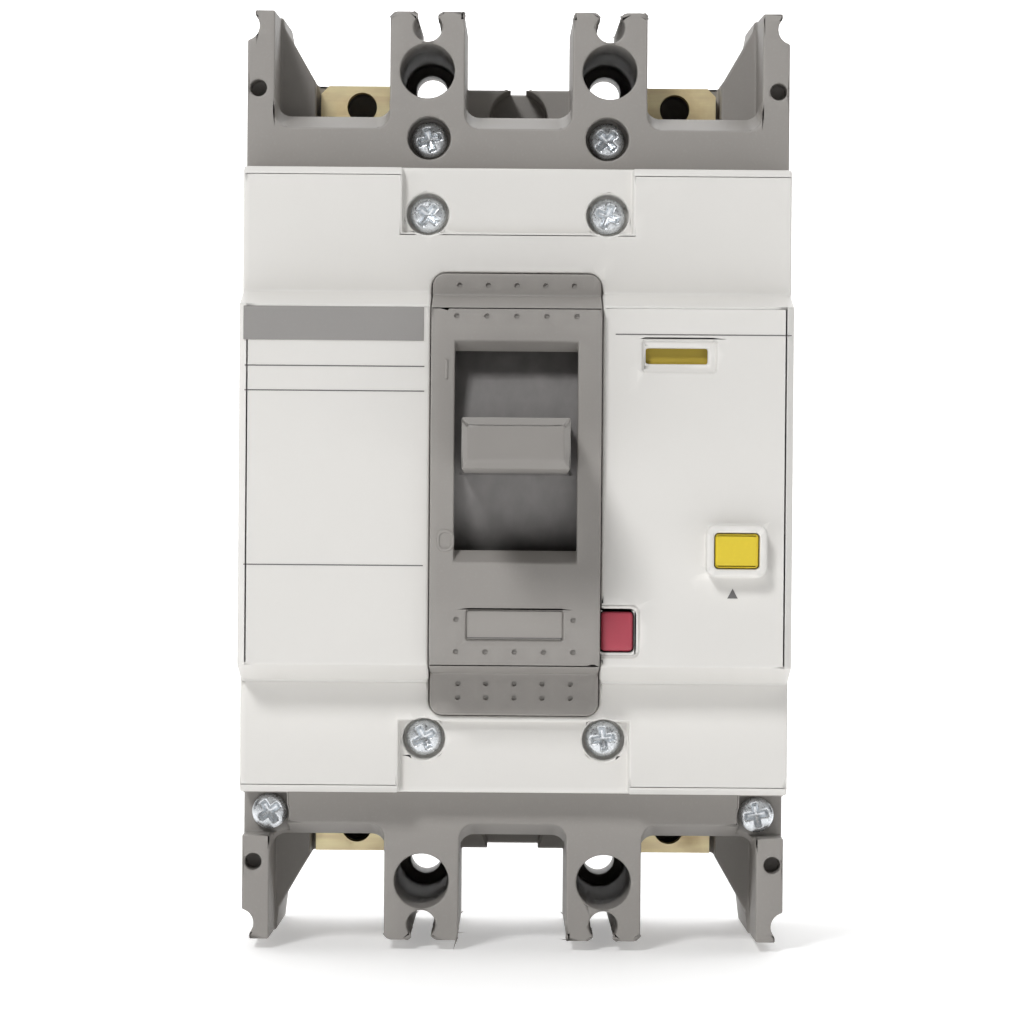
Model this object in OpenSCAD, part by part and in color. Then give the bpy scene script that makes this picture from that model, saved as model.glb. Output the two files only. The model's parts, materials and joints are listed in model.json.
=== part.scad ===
// Two-pole earth-leakage circuit breaker in a three-pole moulded case.
// Every part is drawn with the case lying on its back: x across, y towards the line end,
// z out of the front. upright() then stands it up, with the front facing -Y and the line end up.

/* [Case] */
// Width of the case
body_w = 75; // [72:1:92]
// Height of the case at its back
body_h = 130; // [122:1:158]
// Depth of the base moulding, back to seam
base_d = 30; // [30:1:34]
// Depth of the dark deck that carries the cover screws
deck_d = 43; // [42:1:52]
// How much each end leans in, back to deck
end_draft = 1.4; // [0:0.1:2]
// How much each side leans in, back to deck
side_draft = 0.4; // [0:0.1:1]
// Thickness of the moulded walls
wall = 2.4; // [2:0.1:2.9]
// Thickness of the moulded floor
floor_t = 3; // [2.5:0.1:3.6]

/* [Front cover] */
// Length of the white cover
front_l = 84.8; // [76:0.5:86]
// Height of its shoulders over the deck
shoulder_rise = 7; // [6:0.5:8.5]
// Height of its raised face over the deck
face_rise = 15; // [13:0.5:18]
// Length of its raised face
face_l = 48.2; // [46:0.5:49]
// Height of the dark centre strip over the deck
strip_rise = 17; // [15:0.5:20]
// Width of the dark centre strip
strip_w = 22.8; // [22:0.2:23]
// Gap around the centre strip
strip_gap = 0.15; // [0.1:0.05:0.5]

/* [Mounting] */
// Distance between the mounting rows, along the case
mount_l = 111; // [105:1:138]
// Clearance hole of a mounting screw, radius
mount_r = 2.25; // [1.8:0.05:2.6]
// Screwdriver well over each mounting hole, radius
well_r = 3.75; // [3.4:0.05:4.2]
// Thickness under the head of a mounting screw
mount_t = 8; // [5:0.5:12]

/* [Terminals] */
// Width of a terminal pad
pad_w = 10; // [9:0.5:10.4]
// Thickness of a terminal pad
pad_t = 3; // [2:0.25:3.5]
// Tapped hole of a terminal, radius
tap_r = 2.1; // [1.7:0.05:2.5]
// How much further in the floor ends at the load end
load_back = 1.8; // [0:0.1:2.4]

/* [Handle] */
// Width of the handle knob
knob_w = 14; // [11:0.5:15]
// How far the handle stands out of the strip
knob_rise = 22; // [16:1:26]
// Thickness of the knob at its tip
knob_t = 6.6; // [5.4:0.2:6.8]
// Slanted edge around the tip of the knob
knob_edge = 1.1; // [0.5:0.1:1.4]
// How far the knob leans towards ON when tripped, in degrees
knob_lean = 1.2; // [0:0.2:2]
// Travel of the handle to each side, in degrees
handle_travel = 16; // [10:1:16]

/* [Buttons] */
// Width of the trip button
trip_w = 4.3; // [3.8:0.1:4.4]
// Length of the trip button
trip_l = 5.3; // [4.5:0.1:5.6]
// Width of the test button
test_w = 5.8; // [5:0.1:6.4]
// Length of the test button
test_l = 4.6; // [4:0.1:5.2]
// Gap around each button
button_gap = 0.12; // [0.1:0.02:0.3]

/* [Mechanism] */
// Radius of the moulded crossbar
crossbar_r = 5; // [4.4:0.1:5]
// Radius of the trip bar
trip_bar_r = 2; // [1.6:0.1:2.1]
// Opening of the contacts when tripped, in degrees
open_angle = 10.8; // [8:0.2:12]
// Thickness of the mechanism plates
plate_t = 1.2; // [0.9:0.1:1.2]
// Radius of the pivots
pivot_r = 1.5; // [1.1:0.1:1.5]
// Number of plates in an arc chute
arc_plates = 7; // [5:1:7]
// Running clearance between a pin and its hole
run_gap = 0.05; // [0.03:0.01:0.1]

/* [Hidden] */
$fn = 72;

// Places across the case
pitch = body_w / 3;
well_x = pitch / 2;
pole_x = body_w / 2 - 14.6;
pillar_w = 10.2;
ear_t = 4.1;
barrier_t = 2;

// Places along the case, measured in from the ends
end_y = body_h / 2;
well_y = mount_l / 2;
ledge_y = end_y - 9.8;
deck_foot = end_y - 15.3;
deck_lip = end_y - 17.4;
inner_y = end_y - 19;
tap_y = end_y - 13;
load_pad_y = ledge_y - load_back - 0.2;
load_tap_y = load_pad_y - 3.3;
front_y = front_l / 2 - 0.5;
front_low = front_y - front_l;

// Depths
shoulder_z = deck_d + shoulder_rise;
face_z = deck_d + face_rise;
strip_z = deck_d + strip_rise;
roof_t = 2.2;
lip_t = 8;
roof_z = deck_d - roof_t;
pad_z = 19.5;
mid_floor_z = 15;
mid_well_r = 4.2;

// Raised face of the white cover and of the strip
face_top = 23;
face_low = face_top - face_l;
strip_top = face_top - 0.3;
strip_low = face_low;
tab_top = strip_top + 4.8;
tab_low = strip_low - 7;
tab_z = shoulder_z + 1;

// Cover screws
screw_head_r = 2.4;
screw_bore_r = 2.9;
top_screw = [12.2, deck_lip - 1.3];
low_screw = [body_w / 2 - 3.9, -(deck_lip - 1.2)];
front_screw = [12.2, 35.6];

// Handle
handle_y = 3.6;
pivot_z = deck_d - 9;
shield_r = strip_z - pivot_z - 3.5;
shield_t = 2;
shield_half_w = strip_w / 2 - 2;
window_w = knob_w + 2.1;
window_l = 26;
shield_half_angle = asin(window_l / 2 / shield_r) + handle_travel + 0.7;
arm_in = 8.6;
arm_t = 1;

// Toggle mechanism: each place is [y, z]
plate_in = 7.2;
cradle_at = [18, 24];
link_at = [8, 28];
knee_at = [-1, 24.5];
crossbar_at = [4, 13];
crank_at = [-2, 18];
latch_at = [-8.1, 18.5];
trip_bar_at = [-12, 30];
link_in = 5.4;
link_t = 0.6;
link_gap = 0.2;
knee_slack = 0.5;
pin_r = 1.2;
spring_x = 3.4;

// Contacts
arm_w = 6;
arm_reach = 27;
tip_t = 1.5;
strip_bed_z = 6;
strip_bed_t = 2.5;
chute_y = 29.5;
chute_l = 11.5;

// Trip unit
bimetal_y = -18.9;
setting_z = 27.25;
setting_r = 0.7;
yoke_y = -22.5;
armature_y = -13.2;
armature_pin_z = 21;
sensor_at = [-32, 15];
sensor_l = 12;
coil_at = [-30, 35.3];

// Buttons and flag
trip_at = [strip_w / 2 + strip_gap + trip_w / 2, -20.45];
test_at = [29.5, -9.5];
collar_rise = 3;
collar_t = 1;
flag_at = [21.4, 16.4];
roof_face_t = 2;
board_at = [-24, -1];
board_size = [20, 42, 1.6];
board_z = deck_d + 1.6;

// ---------- helpers ----------

module upright() rotate([90, 0, 0]) children();

// Box between two corners
module span(low, high) translate(low) cube(high - low);

// Both sides of the case
module both_sides() {
    children();
    mirror([1, 0, 0]) children();
}

// Both ends of the case
module both_ends() {
    children();
    mirror([0, 1, 0]) children();
}

// Outline given as [y, z], from x0 to x1
module across(x0, x1, points)
    translate([x0, 0, 0]) rotate([90, 0, 90]) linear_extrude(x1 - x0) polygon(points);

// Outline given as [x, z], from y0 to y1
module along(y0, y1, points)
    translate([0, y1, 0]) rotate([90, 0, 0]) linear_extrude(y1 - y0) polygon(points);

// Round bar across the case, at [y, z]
module bar(x0, x1, at, r)
    translate([x0, at[0], at[1]]) rotate([0, 90, 0]) cylinder(h = x1 - x0, r = r);

// Round bar along the case, at [x, z]
module rod(y0, y1, at, r)
    translate([at[0], y0, at[1]]) rotate([-90, 0, 0]) cylinder(h = y1 - y0, r = r);

// Round post out of the case, at [x, y]
module post(z0, z1, at, r)
    translate([at[0], at[1], z0]) cylinder(h = z1 - z0, r = r);

// Flat plate with round ends across the case, from one [y, z] to another
module link(x0, x1, a, b, r) {
    d = b - a;
    bar(x0, x1, a, r);
    bar(x0, x1, b, r);
    translate([x0, a[0], a[1]])
        rotate([atan2(d[1], d[0]), 0, 0])
            translate([0, 0, -r]) cube([x1 - x0, norm(d), 2 * r]);
}

// Rounded rectangle with true arcs, centred
module round_rect(w, h, r) {
    square([w - 2 * r, h], center = true);
    square([w, h - 2 * r], center = true);
    for (sx = [-1, 1], sy = [-1, 1])
        translate([sx * (w / 2 - r), sy * (h / 2 - r)]) circle(r);
}

// Rounded block standing on z0
module pad(at, w, h, r, z0, z1)
    translate([at[0], at[1], z0]) linear_extrude(z1 - z0) round_rect(w, h, r);

// Points of a smooth line through the ones given, n to each stretch
function smooth(p, n) = let (last = len(p) - 1) concat(
    [for (i = [0 : last - 1]) let (
        a = p[max(i - 1, 0)], b = p[i], c = p[i + 1], d = p[min(i + 2, last)]
    ) for (k = [0 : n - 1]) let (t = k / n)
        b + (c - a) * t / 2 + (2 * a - 5 * b + 4 * c - d) * t * t / 2
            + (3 * b - a - 3 * c + d) * t * t * t / 2],
    [p[last]]);

function unit(v) = v / norm(v);

// Round wire along a smooth line through a list of points
module wire(points, r, sides = 8) {
    path = smooth(points, 4);
    last = len(path) - 1;
    rings = [
        for (i = [0 : last]) let (
            t = unit(path[min(i + 1, last)] - path[max(i - 1, 0)]),
            u = unit(cross(t, [0.3, 0.2, 1])),
            v = cross(t, u)
        ) for (j = [0 : sides - 1]) let (a = 360 * j / sides)
            path[i] + r * (cos(a) * u + sin(a) * v)
    ];
    walls = [
        for (i = [0 : last - 1]) for (j = [0 : sides - 1]) let (k = (j + 1) % sides)
            [i * sides + j, i * sides + k, (i + 1) * sides + k, (i + 1) * sides + j]
    ];
    polyhedron(rings, concat(
        [[for (j = [sides - 1 : -1 : 0]) j]],
        [[for (j = [0 : sides - 1]) last * sides + j]], walls));
}

// Coil spring along z, from 0 to length
module coil(r, wire_r, turns, length) {
    steps = 14 * turns;
    sides = 6;
    rise = length - 2 * wire_r;
    points = [
        for (i = [0 : steps]) let (a = 360 * turns * i / steps)
            for (j = [0 : sides - 1]) let (b = 360 * j / sides, q = r + wire_r * cos(b))
                [q * cos(a), q * sin(a), wire_r + rise * i / steps + wire_r * sin(b)]
    ];
    walls = [
        for (i = [0 : steps - 1]) for (j = [0 : sides - 1]) let (k = (j + 1) % sides)
            [i * sides + j, (i + 1) * sides + j, (i + 1) * sides + k, i * sides + k]
    ];
    first = [for (j = [0 : sides - 1]) j];
    last = [for (j = [sides - 1 : -1 : 0]) steps * sides + j];
    polyhedron(points, concat([first, last], walls));
}

// ---------- case ----------

function half_h(z) = end_y - end_draft * z / deck_d;
function half_w(z) = body_w / 2 - side_draft * z / deck_d;

// Outer block of the case between two depths, with draft on all four sides
module case_block(z0, z1) intersection() {
    across(-body_w, body_w,
        [[-half_h(z0), z0], [half_h(z0), z0], [half_h(z1), z1], [-half_h(z1), z1]]);
    along(-body_h, body_h,
        [[-half_w(z0), z0], [half_w(z0), z0], [half_w(z1), z1], [-half_w(z1), z1]]);
}

// Keyhole slot for a barrier between poles, open at the end of the case
module barrier_slot(x, z0, z1) {
    post(z0, z1, [x, end_y - 3.5], 2);
    span([x - 1.4, end_y - 3.5, z0], [x + 1.4, end_y + 1, z1]);
}

// Open bay at the end of the case, with two rounded corners in plan
module bay(x0, x1, y0, z0, z1, r = 2)
    translate([0, 0, z0]) linear_extrude(z1 - z0) {
        translate([x0, y0 + r]) square([x1 - x0, end_y]);
        translate([x0 + r, y0]) square([x1 - x0 - 2 * r, end_y]);
        for (x = [x0 + r, x1 - r]) translate([x, y0 + r]) circle(r);
    }

// The same bay in the deck, whose lip leans out over the terminals
module deck_bay(x0, x1) {
    bay(x0, x1, deck_foot, base_d - 1, deck_d + 1);
    translate([0, deck_foot, deck_d - lip_t])
        rotate([atan((deck_foot - deck_lip) / lip_t), 0, 0])
            translate([0, -deck_foot, 0])
                bay(x0 + 0.05, x1 - 0.05, deck_foot, 0, lip_t + 2);
}

// What is cut from each end over the whole depth given
module end_openings(z0, z1) {
    inner = well_x - pillar_w / 2;
    both_sides() {
        barrier_slot(well_x, z0, z1);
        barrier_slot(body_w / 2, z0, z1);
    }
    span([-inner, ledge_y, z0], [inner, end_y + 1, z1]);
}

module wells(z0, z1, r) both_sides() both_ends() post(z0, z1, [well_x, well_y], r);

// Lower part of each end: open channel past the ledge, with the leaning gusset
module base_channels(back = 0) {
    foot = ledge_y - back;
    inner = well_x + pillar_w / 2;
    outer = body_w / 2 - ear_t;
    gusset = pole_x + pad_w / 2 + 0.6;
    both_sides() {
        translate([0, 0, -1]) linear_extrude(base_d + 2) polygon([
            [inner, foot], [gusset, foot], [outer - 0.6, foot + 7.5],
            [outer, end_y + 1], [inner, end_y + 1]
        ]);
        // bay over the terminal pad
        span([inner, deck_foot, pad_z - 0.1], [gusset, foot + 0.1, base_d + 1]);
        // lower ledge outside the pad
        translate([0, 0, base_d - 3]) linear_extrude(4) polygon([
            [gusset - 0.1, deck_foot], [outer, deck_foot], [outer, end_y + 1],
            [outer - 1, end_y + 1], [outer - 1, foot + 7], [gusset - 0.1, foot + 0.1]
        ]);
    }
    // middle bay, with its round well
    mid = well_x - pillar_w / 2;
    span([-mid, deck_foot, mid_floor_z], [mid, foot + 1, base_d + 1]);
    span([-mid, foot, -1], [mid, end_y + 1, base_d + 1]);
    post(mid_floor_z - 8, base_d + 1, [0, deck_foot + 1.4], mid_well_r);
}

// Pocket for the mechanism and the poles
module base_cavity() {
    inner_w = body_w / 2 - wall - 0.2;
    span([-inner_w, -inner_y, floor_t], [inner_w, inner_y, base_d + 1]);
}

module base_ribs() {
    low = -8;
    both_sides() {
        difference() {
            span([well_x - barrier_t / 2, low, floor_t - 1],
                [well_x + barrier_t / 2, inner_y + 1, base_d]);
            // notch for the crossbar
            span([well_x - 2, crossbar_at[0] - crossbar_r - 1, crossbar_at[1] - crossbar_r - 1],
                [well_x + 2, crossbar_at[0] + crossbar_r + 1, base_d + 1]);
        }
        // posts under the trip bar
        span([well_x - barrier_t / 2, trip_bar_at[0] - 2, floor_t - 1],
            [well_x + barrier_t / 2, trip_bar_at[0] + 2, trip_bar_at[1] - trip_bar_r - 0.1]);
        // bosses for the cover screws
        post(floor_t - 1, base_d, top_screw, 3.4);
        span([low_screw[0] - 2.6, -inner_y - 1, floor_t - 1],
            [body_w / 2 - wall, low_screw[1] + 2.8, base_d]);
    }
}

module base() color([0.42, 0.4, 0.38]) upright() {
    difference() {
        union() {
            difference() {
                case_block(0, base_d);
                base_cavity();
            }
            base_ribs();
        }
        both_ends() {
            end_openings(-1, base_d + 1);
            base_channels();
        }
        mirror([0, 1, 0]) base_channels(load_back);
        wells(-1, mount_t + 1, mount_r);
        wells(mount_t, base_d + 1, well_r);
        both_ends() both_sides() {
            // slot for the terminal strip, and room under the tapped hole
            span([pole_x - pad_w / 2 - 0.1, inner_y - 1, pad_z - 0.1],
                [pole_x + pad_w / 2 + 0.1, deck_foot + 1, pad_z + pad_t + 0.1]);
        }
        both_sides() {
            post(pad_z - 9, pad_z, [pole_x - 0.8, tap_y], tap_r + 0.5);
            post(pad_z - 9, pad_z, [pole_x - 0.8, -load_tap_y], tap_r + 0.5);
        }
        both_sides() {
            post(12, base_d + 1, top_screw, 1.3);
            post(12, base_d + 1, low_screw, 1.3);
        }
    }
}

// ---------- main cover ----------

strip_side = [
    [tab_low, deck_d - 0.5], [tab_low, tab_z], [strip_low - 1.3, tab_z],
    [strip_low, strip_z], [strip_top, strip_z], [strip_top + 1.8, tab_z],
    [tab_top, tab_z], [tab_top, deck_d - 0.5]
];

// Rows of shallow round dimples on the strip: [y, count, pitch, z]
dimple_rows = [
    [strip_top + 3.2, 5, 3.87, tab_z], [strip_top - 1.2, 5, 4, strip_z],
    [strip_low + 6.3, 2, 15.6, strip_z], [strip_low + 2, 5, 3.9, strip_z],
    [strip_low - 2.7, 5, 3.8, tab_z], [strip_low - 4.6, 5, 3.8, tab_z]
];

module strip_outside() {
    cx = strip_w / 2;
    r = 1.7;
    intersection() {
        across(-cx, cx, strip_side);
        translate([0, (tab_top + tab_low) / 2, deck_d - 1])
            linear_extrude(strip_rise + 2) round_rect(strip_w, tab_top - tab_low, r);
    }
}

// Slanted mouth around the handle
module handle_window() {
    y0 = handle_y - window_l / 2;
    y1 = handle_y + window_l / 2;
    half = window_w / 2;
    pad([0, handle_y], window_w, window_l, 1, roof_z, strip_z + 1);
    across(-half - 0.15, half + 0.15, [
        [y0 + 1, strip_z - 3.2], [y0 + 0.1, strip_z - 2.6], [y0 - 2.7, strip_z + 1],
        [y1 + 2.3, strip_z + 1], [y1 - 0.1, strip_z - 2.6], [y1 - 1, strip_z - 3.2]
    ]);
}

module cover_bosses() both_sides() {
    both_ends() {
        post(deck_d - 8, deck_d, front_screw, 3);
    }
    post(base_d, deck_d, top_screw, 3.6);
}

module main_cover() color([0.45, 0.43, 0.41]) upright() {
    cx = body_w / 2 - wall - 0.4;
    inner_strip = strip_w / 2 - 1.6;
    difference() {
        union() {
            difference() {
                union() {
                    case_block(base_d, deck_d);
                    strip_outside();
                }
                span([-cx, -inner_y + 4.6, base_d - 1], [cx, inner_y - 4.6, roof_z]);
                span([-inner_strip, strip_low + 0.7, roof_z - 1],
                    [inner_strip, strip_top - 1.6, strip_z - 2.2]);
                span([-inner_strip, strip_low + 1.5, base_d - 1],
                    [inner_strip, strip_top + 2.8, tab_z - 2]);
            }
            cover_bosses();
        }
        handle_window();
        both_ends() {
            end_openings(base_d - 1, deck_d + 1);
            both_sides() {
                deck_bay(well_x + pillar_w / 2, body_w / 2 - ear_t);
                post(deck_d - 4, deck_d + 1, [body_w / 2 - 1.9, end_y - 12], 1.15);
            }
            deck_bay(-well_x + pillar_w / 2, well_x - pillar_w / 2);
        }
        wells(base_d - 1, deck_d + 1, well_r);
        both_sides() {
            // cover screws
            post(base_d - 1, deck_d + 1, top_screw, 1.7);
            post(deck_d - 5, deck_d + 1, top_screw, screw_bore_r + 0.05);
            post(base_d - 1, deck_d + 1, low_screw, 1.7);
            span([low_screw[0] - screw_bore_r + 0.3, low_screw[1] - screw_bore_r, deck_d - 5],
                [body_w, low_screw[1] + screw_bore_r, deck_d + 1]);
            post(deck_d - 5, deck_d + 1, low_screw, screw_bore_r);
            both_ends() post(deck_d - 9, deck_d + 1, front_screw, 1.15);
        }
        // shallow marks on the strip
        for (row = dimple_rows) for (i = [0 : row[1] - 1])
            post(row[3] - 0.35, row[3] + 1, [(i - (row[1] - 1) / 2) * row[2], row[0]], 0.36);
        pad([0, strip_low + 5.55], 13, 4.1, 0.4, strip_z - 0.5, strip_z + 1);
        // stem of the trip button, lead hole
        translate([trip_at[0] - 1.6, trip_at[1] - 1.6, roof_z - 1]) cube([3.2, 3.2, 10]);
        post(roof_z - 1, deck_d + 1, [-22, -20], 2);
    }
    // seats under the circuit board
    for (y = [-17, 17]) for (x = [-31, -17])
        post(deck_d, board_z, [x + 0.5, board_at[1] + y], 1.4);
}

// ---------- front cover ----------

front_side = [
    [front_low, deck_d], [front_low, shoulder_z - 0.8], [front_low + 0.8, shoulder_z],
    [face_low - 2.4, shoulder_z], [face_low, face_z], [face_top, face_z],
    [face_top + 1.9, shoulder_z], [front_y - 0.8, shoulder_z],
    [front_y, shoulder_z - 0.8], [front_y, deck_d]
];

module button_hole(at, w, l, z0, z1)
    pad(at, w + 2 * button_gap, l + 2 * button_gap, 0.6, z0, z1);

module front_cover() color([0.9, 0.89, 0.87]) upright() {
    cx = half_w(deck_d);
    rim = strip_w / 2 + strip_gap + 1.5;
    difference() {
        union() {
            intersection() {
                across(-cx, cx, front_side);
                along(front_low, front_y, [
                    [-cx, deck_d], [-cx, face_z - 0.9], [-cx + 0.9, face_z],
                    [cx - 0.9, face_z], [cx, face_z - 0.9], [cx, deck_d]
                ]);
            }
            pad(test_at, test_w + 2 * (button_gap + collar_t), test_l + 2 * (button_gap + collar_t),
                1.2, face_z - 1, face_z + collar_rise);
        }
        // opening around the centre strip
        translate([0, (tab_top + tab_low) / 2, deck_d - 1])
            linear_extrude(face_rise + 2)
                round_rect(strip_w + 2 * strip_gap, tab_top - tab_low + 2 * strip_gap, 2);
        both_sides() {
            // hollow under the raised face and under the shoulders
            span([rim, face_low + 2, deck_d - 1], [cx - 2, face_top - 1.8, face_z - roof_face_t]);
            span([rim + 4, front_low + 2, deck_d - 1], [cx - 2, front_y - 2, shoulder_z - 3]);
        }
        both_ends() {
            // lowered panel with two screws
            span([-15.6, 33, shoulder_z - 2], [15.6, front_y + 2, shoulder_z + 1]);
            both_sides() {
                post(deck_d + 1.6, shoulder_z + 1, front_screw, screw_bore_r);
                post(deck_d - 1, shoulder_z + 1, front_screw, 1.6);
            }
        }
        button_hole(trip_at, trip_w, trip_l, deck_d - 1, face_z + 1);
        pad(trip_at, trip_w + 1.6, trip_l + 1.6, 1, face_z - 0.3, face_z + 1);
        button_hole(test_at, test_w, test_l, face_z - 4, face_z + collar_rise + 1);
        // window of the leak flag, in a sunk frame
        translate([flag_at[0], flag_at[1], face_z - 4]) linear_extrude(6)
            square([8.3, 2.1], center = true);
        pad([flag_at[0] + 0.35, flag_at[1]], 9.9, 4.4, 0.5, face_z - 0.6, face_z + 1);
    }
}

// ---------- fasteners and labels ----------

// Pan-head screw with a cross recess, head top at z
module cross_screw(at, z, head_r, head_t, shank_r, length) difference() {
    union() {
        post(z - head_t, z, at, head_r);
        post(z - head_t - length, z - head_t, at, shank_r);
    }
    for (a = [0, 90]) translate([at[0], at[1], z - 0.9]) rotate([0, 0, a])
        translate([-1.3, -0.3, 0]) cube([2.6, 0.6, 2]);
}

module main_cover_screws() color([0.72, 0.74, 0.76]) upright() both_sides() {
    cross_screw(top_screw, deck_d - 3.4, 2.4, 1.6, 1.3, 24);
    cross_screw(low_screw, deck_d - 3.4, 2.4, 1.6, 1.3, 24);
}

module front_cover_screws() color([0.72, 0.74, 0.76]) upright() both_sides() both_ends()
    cross_screw(front_screw, deck_d + 3.4, screw_head_r, 1.8, 1.15, 9);

module rating_plate() color([0.6, 0.59, 0.57]) upright()
    pad([0, strip_low + 5.55], 12.6, 3.7, 0.3, strip_z - 0.5, strip_z - 0.3);

module name_band() color([0.72, 0.72, 0.72]) upright()
    span([-body_w / 2 + 1, 18.2, face_z], [-strip_w / 2 - 1, 22.7, face_z + 0.12]);

// ---------- handle ----------

// Part of a ring about the handle's axis, spread to each side of straight out
module handle_sector(r0, r1, half_angle, half_width)
    translate([0, handle_y, pivot_z]) rotate([0, 90, 0]) rotate([0, 0, 180 - half_angle])
        rotate_extrude(angle = 2 * half_angle)
            translate([r0, -half_width]) square([r1 - r0, 2 * half_width]);

module handle() color([0.36, 0.34, 0.33]) upright() {
    tip = strip_z + knob_rise - pivot_z;
    root = knob_t / 2 + 0.2;
    foot = shield_r - 0.5;
    handle_sector(shield_r - shield_t, shield_r, shield_half_angle, shield_half_w);
    translate([0, handle_y, pivot_z]) rotate([-knob_lean, 0, 0]) intersection() {
        across(-knob_w / 2, knob_w / 2, [
            [-root, foot], [-knob_t / 2, tip - knob_edge], [-knob_t / 2 + knob_edge, tip],
            [knob_t / 2 - knob_edge, tip], [knob_t / 2, tip - knob_edge], [root, foot]
        ]);
        along(-root - 1, root + 1, [
            [-knob_w / 2 - 1, foot - 1], [-knob_w / 2 - 1, tip - knob_edge - 1.6],
            [-knob_w / 2 + knob_edge - 0.2, tip + 0.1], [knob_w / 2 - knob_edge + 0.2, tip + 0.1],
            [knob_w / 2 + 1, tip - knob_edge - 1.6], [knob_w / 2 + 1, foot - 1]
        ]);
    }
}

module handle_arm() color([0.7, 0.68, 0.62]) upright() {
    top = pivot_z + shield_r - shield_t - 0.3;
    both_sides() difference() {
        union() {
            bar(arm_in, arm_in + arm_t, [handle_y, pivot_z], 3.4);
            span([arm_in, handle_y - 2.4, pivot_z], [arm_in + arm_t, handle_y + 2.4, top]);
        }
        bar(arm_in - 1, arm_in + 3, [handle_y, pivot_z], pivot_r + run_gap);
    }
    span([-arm_in - 0.5, handle_y - 2.4, top - 1.2], [arm_in + 0.5, handle_y + 2.4, top]);
}

module handle_pivots() color([0.8, 0.8, 0.8]) upright() both_sides()
    bar(plate_in, arm_in + arm_t + 0.2, [handle_y, pivot_z], pivot_r);

// ---------- toggle mechanism ----------

module side_plates() color([0.74, 0.72, 0.64]) upright() both_sides() difference() {
    union() {
        across(plate_in, plate_in + plate_t, [
            [-6.5, floor_t], [23, floor_t], [23, 26], [18, 28.5], [7.6, 30], [7.6, pivot_z],
            [-0.4, pivot_z], [-0.4, 30], [-6.5, 26]
        ]);
        bar(plate_in, plate_in + plate_t, [handle_y, pivot_z], 4);
    }
    bar(0, 20, [handle_y, pivot_z], pivot_r);
    bar(0, 20, crossbar_at, crossbar_r + 0.5);
    bar(0, 20, cradle_at, pivot_r);
    for (at = [[20, 7], [-4, 7]]) bar(0, 20, at, pin_r);
    // room for the crank end of the lower links
    link(0, 20, crank_at + [0, -1], crank_at + [0, 1], 2.6);
}

module spacer_pins() color([0.8, 0.8, 0.8]) upright()
    for (at = [[20, 7], [-4, 7]])
        bar(-plate_in - plate_t - 0.5, plate_in + plate_t + 0.5, at, pin_r);

module cradle() color([0.7, 0.7, 0.66]) upright() difference() {
    union() {
        bar(-1, 1, cradle_at, 3.6);
        bar(-1, 1, link_at, 3.8);
        across(-1, 1, [
            cradle_at + [1, 3], link_at + [1, 3.2], link_at + [-5, 4.9],
            latch_at + [3.3, 14.1], latch_at + [1.9, 13.1], latch_at + [1.9, 11.7],
            latch_at + [3.6, 11.3], link_at + [-6.5, 0.6], link_at + [-1, -3], cradle_at + [-1, -3]
        ]);
    }
    bar(-2, 2, cradle_at, pivot_r + run_gap);
    bar(-2, 2, link_at, pin_r + 1.3);
}

module cradle_pin() color([0.8, 0.8, 0.8]) upright()
    bar(-plate_in - plate_t - 0.5, plate_in + plate_t + 0.5, cradle_at, pivot_r);

module upper_links() color([0.66, 0.66, 0.68]) upright() both_sides() difference() {
    link(link_in, link_in + link_t, link_at, knee_at, 2.2);
    bar(link_in - 1, link_in + 1, link_at, pin_r);
    bar(link_in - 1, link_in + 1, knee_at, pin_r);
}

module link_pin() color([0.8, 0.8, 0.8]) upright()
    bar(-link_in - link_t, link_in + link_t, link_at, pin_r);

module lower_links() color([0.62, 0.62, 0.64]) upright() both_sides() {
    x0 = link_in + link_t + link_gap;
    difference() {
        link(x0, x0 + link_t, crank_at, knee_at, 2.3);
        bar(x0 - 1, x0 + 1, crank_at, pin_r + run_gap);
        bar(x0 - 1, x0 + 1, knee_at, pin_r + knee_slack);
    }
}

module knee_pin() color([0.8, 0.8, 0.8]) upright() {
    x1 = link_in + 2 * link_t + link_gap;
    bar(-x1, x1, knee_at, pin_r);
}

module main_springs() color([0.78, 0.79, 0.8]) upright() both_sides() {
    a = [knee_at[0], knee_at[1] + pin_r + 0.1];
    b = [handle_y, pivot_z + shield_r - shield_t - 1.7];
    d = b - a;
    translate([spring_x, a[0], a[1]]) rotate([-atan2(d[0], d[1]), 0, 0])
        coil(1.5, 0.3, 10, norm(d));
}

module latch() color([0.64, 0.66, 0.68]) upright() difference() {
    union() {
        span([-4.5, latch_at[0] - 0.5, latch_at[1]], [4.5, latch_at[0] + 0.5, 29.6]);
        bar(-4.5, 4.5, latch_at, 2.1);
    }
    bar(-6, 6, latch_at, 1 + run_gap);
    // window that holds the nose of the cradle
    span([-1.6, latch_at[0] - 2, 25.5], [1.6, latch_at[0] + 2, 28]);
}

module latch_pin() color([0.8, 0.8, 0.8]) upright() {
    bar(-plate_in - plate_t, plate_in + plate_t, latch_at, 1);
    // feet that carry the pin
    both_sides() difference() {
        span([plate_in, latch_at[0] - 1.4, floor_t], [plate_in + plate_t, latch_at[0] + 1.4, 20.5]);
        bar(0, 20, latch_at, 1);
    }
}

// ---------- crossbar and contacts ----------

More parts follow.
